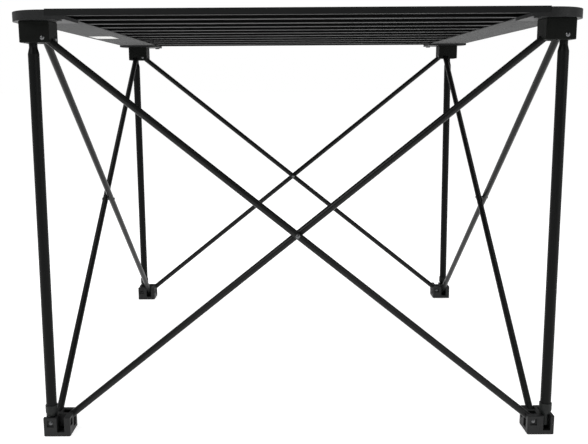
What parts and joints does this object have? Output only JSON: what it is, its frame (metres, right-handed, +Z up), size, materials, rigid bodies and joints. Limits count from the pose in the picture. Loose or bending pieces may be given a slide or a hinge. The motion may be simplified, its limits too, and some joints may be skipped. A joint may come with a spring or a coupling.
{
  "type": "folding side table",
  "caption": "Square camping table with a slatted roll-up top on an expanding scissor frame with upright legs, corner hubs and block feet.",
  "frame": {"origin": "on the floor at the middle of the table", "axes": "+Z up, -Y to the front, +X to the right seen from the front; the slats run along X"},
  "size_m": [0.9, 0.9, 0.7],
  "materials": {
    "slat_aluminium": "satin black powder coat on aluminium extrusion",
    "brace_tube": "satin black powder coat on aluminium tube",
    "leg_tube": "satin black powder coat on aluminium tube",
    "hub_plastic": "black moulded nylon, fine grain",
    "foot_plastic": "charcoal moulded nylon, fine grain",
    "socket_plastic": "black moulded nylon, fine grain",
    "bracket_plastic": "charcoal moulded plastic, fine grain",
    "strap_fabric": "grey woven polyester",
    "rivet_steel": "darkened steel rivet, satin"
  },
  "bodies": {
    "foot_a": {"foot_a": "foot_plastic", "foot_rivets_a": "rivet_steel", "leg_socket_a": "socket_plastic"},
    "hub_a": {"hub_a": "hub_plastic", "hub_rivets_a": "rivet_steel", "leg_a": "leg_tube"},
    "foot_b": {"foot_b": "foot_plastic", "foot_rivets_b": "rivet_steel", "leg_socket_b": "socket_plastic"},
    "hub_b": {"hub_b": "hub_plastic", "hub_rivets_b": "rivet_steel", "leg_b": "leg_tube"},
    "foot_c": {"foot_c": "foot_plastic", "foot_rivets_c": "rivet_steel", "leg_socket_c": "socket_plastic"},
    "hub_c": {"hub_c": "hub_plastic", "hub_rivets_c": "rivet_steel", "leg_c": "leg_tube"},
    "foot_d": {"foot_d": "foot_plastic", "foot_rivets_d": "rivet_steel", "leg_socket_d": "socket_plastic"},
    "hub_d": {"hub_d": "hub_plastic", "hub_rivets_d": "rivet_steel", "leg_d": "leg_tube"},
    "diagonal_front_outer": {"diagonal_front_outer": "brace_tube", "cross_rivet_front": "rivet_steel"},
    "diagonal_front_inner": {"diagonal_front_inner": "brace_tube"},
    "diagonal_right_outer": {"diagonal_right_outer": "brace_tube", "cross_rivet_right": "rivet_steel"},
    "diagonal_right_inner": {"diagonal_right_inner": "brace_tube"},
    "diagonal_back_outer": {"diagonal_back_outer": "brace_tube"},
    "diagonal_back_inner": {"diagonal_back_inner": "brace_tube", "cross_rivet_back": "rivet_steel"},
    "diagonal_left_outer": {"diagonal_left_outer": "brace_tube"},
    "diagonal_left_inner": {"diagonal_left_inner": "brace_tube", "cross_rivet_left": "rivet_steel"},
    "slat_01": {"slat_01": "slat_aluminium", "bracket_a": "bracket_plastic", "bracket_b": "bracket_plastic"},
    "slat_02": {"slat_02": "slat_aluminium", "strap_02": "strap_fabric"},
    "slat_03": {"slat_03": "slat_aluminium", "strap_03": "strap_fabric"},
    "slat_04": {"slat_04": "slat_aluminium", "strap_04": "strap_fabric"},
    "slat_05": {"slat_05": "slat_aluminium", "strap_05": "strap_fabric"},
    "slat_06": {"slat_06": "slat_aluminium", "strap_06": "strap_fabric"},
    "slat_07": {"slat_07": "slat_aluminium", "strap_07": "strap_fabric"},
    "slat_08": {"slat_08": "slat_aluminium", "strap_08": "strap_fabric"},
    "slat_09": {"slat_09": "slat_aluminium", "strap_09": "strap_fabric"},
    "slat_10": {"slat_10": "slat_aluminium", "strap_10": "strap_fabric"},
    "slat_11": {"slat_11": "slat_aluminium", "bracket_c": "bracket_plastic", "bracket_d": "bracket_plastic"}
  },
  "joints": [
    {"name": "frame_fold", "type": "hinge", "parent": "foot_a", "child": "diagonal_front_inner", "pos_m": [-0.395, -0.401, 0.0225], "axis": [0, -1, 0], "range_deg": [0, 48]},
    {"name": "front_cross", "type": "hinge", "parent": "diagonal_front_inner", "child": "diagonal_front_outer", "pos_m": [0, -0.4075, 0.3405], "axis": [0, 1, 0], "range_deg": [0, 96.1]},
    {"name": "hub_b_pivot", "type": "hinge", "parent": "diagonal_front_inner", "child": "hub_b", "pos_m": [0.395, -0.401, 0.6585], "axis": [0, 1, 0], "range_deg": [0, 48.05]},
    {"name": "hub_a_pivot", "type": "hinge", "parent": "diagonal_front_outer", "child": "hub_a", "pos_m": [-0.395, -0.414, 0.6585], "axis": [0, -1, 0], "range_deg": [0, 48.05]},
    {"name": "foot_b_pivot", "type": "hinge", "parent": "diagonal_front_outer", "child": "foot_b", "pos_m": [0.395, -0.414, 0.0225], "axis": [0, -1, 0], "range_deg": [0, 48.05]},
    {"name": "left_fold", "type": "hinge", "parent": "foot_a", "child": "diagonal_left_outer", "pos_m": [-0.414, -0.395, 0.0225], "axis": [1, 0, 0], "range_deg": [0, 48.05]},
    {"name": "left_cross", "type": "hinge", "parent": "diagonal_left_outer", "child": "diagonal_left_inner", "pos_m": [-0.4075, 0, 0.3405], "axis": [-1, 0, 0], "range_deg": [0, 96.1]},
    {"name": "hub_d_pivot", "type": "hinge", "parent": "diagonal_left_outer", "child": "hub_d", "pos_m": [-0.414, 0.395, 0.6585], "axis": [-1, 0, 0], "range_deg": [0, 48.05]},
    {"name": "foot_d_pivot", "type": "hinge", "parent": "diagonal_left_inner", "child": "foot_d", "pos_m": [-0.401, 0.395, 0.0225], "axis": [1, 0, 0], "range_deg": [0, 48.05]},
    {"name": "right_fold", "type": "hinge", "parent": "foot_b", "child": "diagonal_right_inner", "pos_m": [0.401, -0.395, 0.0225], "axis": [1, 0, 0], "range_deg": [0, 48.05]},
    {"name": "right_cross", "type": "hinge", "parent": "diagonal_right_inner", "child": "diagonal_right_outer", "pos_m": [0.4075, 0, 0.3405], "axis": [-1, 0, 0], "range_deg": [0, 96.1]},
    {"name": "hub_c_pivot", "type": "hinge", "parent": "diagonal_right_inner", "child": "hub_c", "pos_m": [0.401, 0.395, 0.6585], "axis": [-1, 0, 0], "range_deg": [0, 48.05]},
    {"name": "foot_c_pivot", "type": "hinge", "parent": "diagonal_right_outer", "child": "foot_c", "pos_m": [0.414, 0.395, 0.0225], "axis": [1, 0, 0], "range_deg": [0, 48.05]},
    {"name": "back_fold", "type": "hinge", "parent": "foot_d", "child": "diagonal_back_outer", "pos_m": [-0.395, 0.414, 0.0225], "axis": [0, -1, 0], "range_deg": [0, 48.05]},
    {"name": "back_cross", "type": "hinge", "parent": "diagonal_back_outer", "child": "diagonal_back_inner", "pos_m": [0, 0.4075, 0.3405], "axis": [0, 1, 0], "range_deg": [0, 96.1]},
    {"name": "top_lift", "type": "slide", "parent": "hub_a", "child": "slat_06", "axis": [0, 0, 1], "range_m": [0, 0.75]},
    {"name": "slat_hinge_05_06", "type": "hinge", "parent": "slat_06", "child": "slat_05", "pos_m": [0, -0.04091, 0.6895], "axis": [1, 0, 0], "range_deg": [0, 30.06]},
    {"name": "slat_hinge_04_05", "type": "hinge", "parent": "slat_05", "child": "slat_04", "pos_m": [0, -0.12273, 0.6895], "axis": [1, 0, 0], "range_deg": [0, 30.06]},
    {"name": "slat_hinge_03_04", "type": "hinge", "parent": "slat_04", "child": "slat_03", "pos_m": [0, -0.20455, 0.6895], "axis": [1, 0, 0], "range_deg": [0, 30.06]},
    {"name": "slat_hinge_02_03", "type": "hinge", "parent": "slat_03", "child": "slat_02", "pos_m": [0, -0.28636, 0.6895], "axis": [1, 0, 0], "range_deg": [0, 30.06]},
    {"name": "slat_hinge_01_02", "type": "hinge", "parent": "slat_02", "child": "slat_01", "pos_m": [0, -0.36818, 0.6895], "axis": [1, 0, 0], "range_deg": [0, 30.06]},
    {"name": "slat_hinge_06_07", "type": "hinge", "parent": "slat_06", "child": "slat_07", "pos_m": [0, 0.04091, 0.6895], "axis": [-1, 0, 0], "range_deg": [0, 30.06]},
    {"name": "slat_hinge_07_08", "type": "hinge", "parent": "slat_07", "child": "slat_08", "pos_m": [0, 0.12273, 0.6895], "axis": [-1, 0, 0], "range_deg": [0, 30.06]},
    {"name": "slat_hinge_08_09", "type": "hinge", "parent": "slat_08", "child": "slat_09", "pos_m": [0, 0.20455, 0.6895], "axis": [-1, 0, 0], "range_deg": [0, 30.06]},
    {"name": "slat_hinge_09_10", "type": "hinge", "parent": "slat_09", "child": "slat_10", "pos_m": [0, 0.28636, 0.6895], "axis": [-1, 0, 0], "range_deg": [0, 30.06]},
    {"name": "slat_hinge_10_11", "type": "hinge", "parent": "slat_10", "child": "slat_11", "pos_m": [0, 0.36818, 0.6895], "axis": [-1, 0, 0], "range_deg": [0, 30.06]}
  ],
  "couplings": [
    {"joint": "front_cross", "follows": "frame_fold", "ratio": 2},
    {"joint": "hub_b_pivot", "follows": "frame_fold", "ratio": 1},
    {"joint": "hub_a_pivot", "follows": "frame_fold", "ratio": 1},
    {"joint": "foot_b_pivot", "follows": "frame_fold", "ratio": 1},
    {"joint": "left_fold", "follows": "frame_fold", "ratio": 1},
    {"joint": "left_cross", "follows": "frame_fold", "ratio": 2},
    {"joint": "hub_d_pivot", "follows": "frame_fold", "ratio": 1},
    {"joint": "foot_d_pivot", "follows": "frame_fold", "ratio": 1},
    {"joint": "right_fold", "follows": "frame_fold", "ratio": 1},
    {"joint": "right_cross", "follows": "frame_fold", "ratio": 2},
    {"joint": "hub_c_pivot", "follows": "frame_fold", "ratio": 1},
    {"joint": "foot_c_pivot", "follows": "frame_fold", "ratio": 1},
    {"joint": "back_fold", "follows": "frame_fold", "ratio": 1},
    {"joint": "back_cross", "follows": "frame_fold", "ratio": 2},
    {"joint": "slat_hinge_05_06", "follows": "top_lift", "rad_per_m": 0.69813},
    {"joint": "slat_hinge_04_05", "follows": "top_lift", "rad_per_m": 0.69813},
    {"joint": "slat_hinge_03_04", "follows": "top_lift", "rad_per_m": 0.69813},
    {"joint": "slat_hinge_02_03", "follows": "top_lift", "rad_per_m": 0.69813},
    {"joint": "slat_hinge_01_02", "follows": "top_lift", "rad_per_m": 0.69813},
    {"joint": "slat_hinge_06_07", "follows": "top_lift", "rad_per_m": 0.69813},
    {"joint": "slat_hinge_07_08", "follows": "top_lift", "rad_per_m": 0.69813},
    {"joint": "slat_hinge_08_09", "follows": "top_lift", "rad_per_m": 0.69813},
    {"joint": "slat_hinge_09_10", "follows": "top_lift", "rad_per_m": 0.69813},
    {"joint": "slat_hinge_10_11", "follows": "top_lift", "rad_per_m": 0.69813}
  ]
}
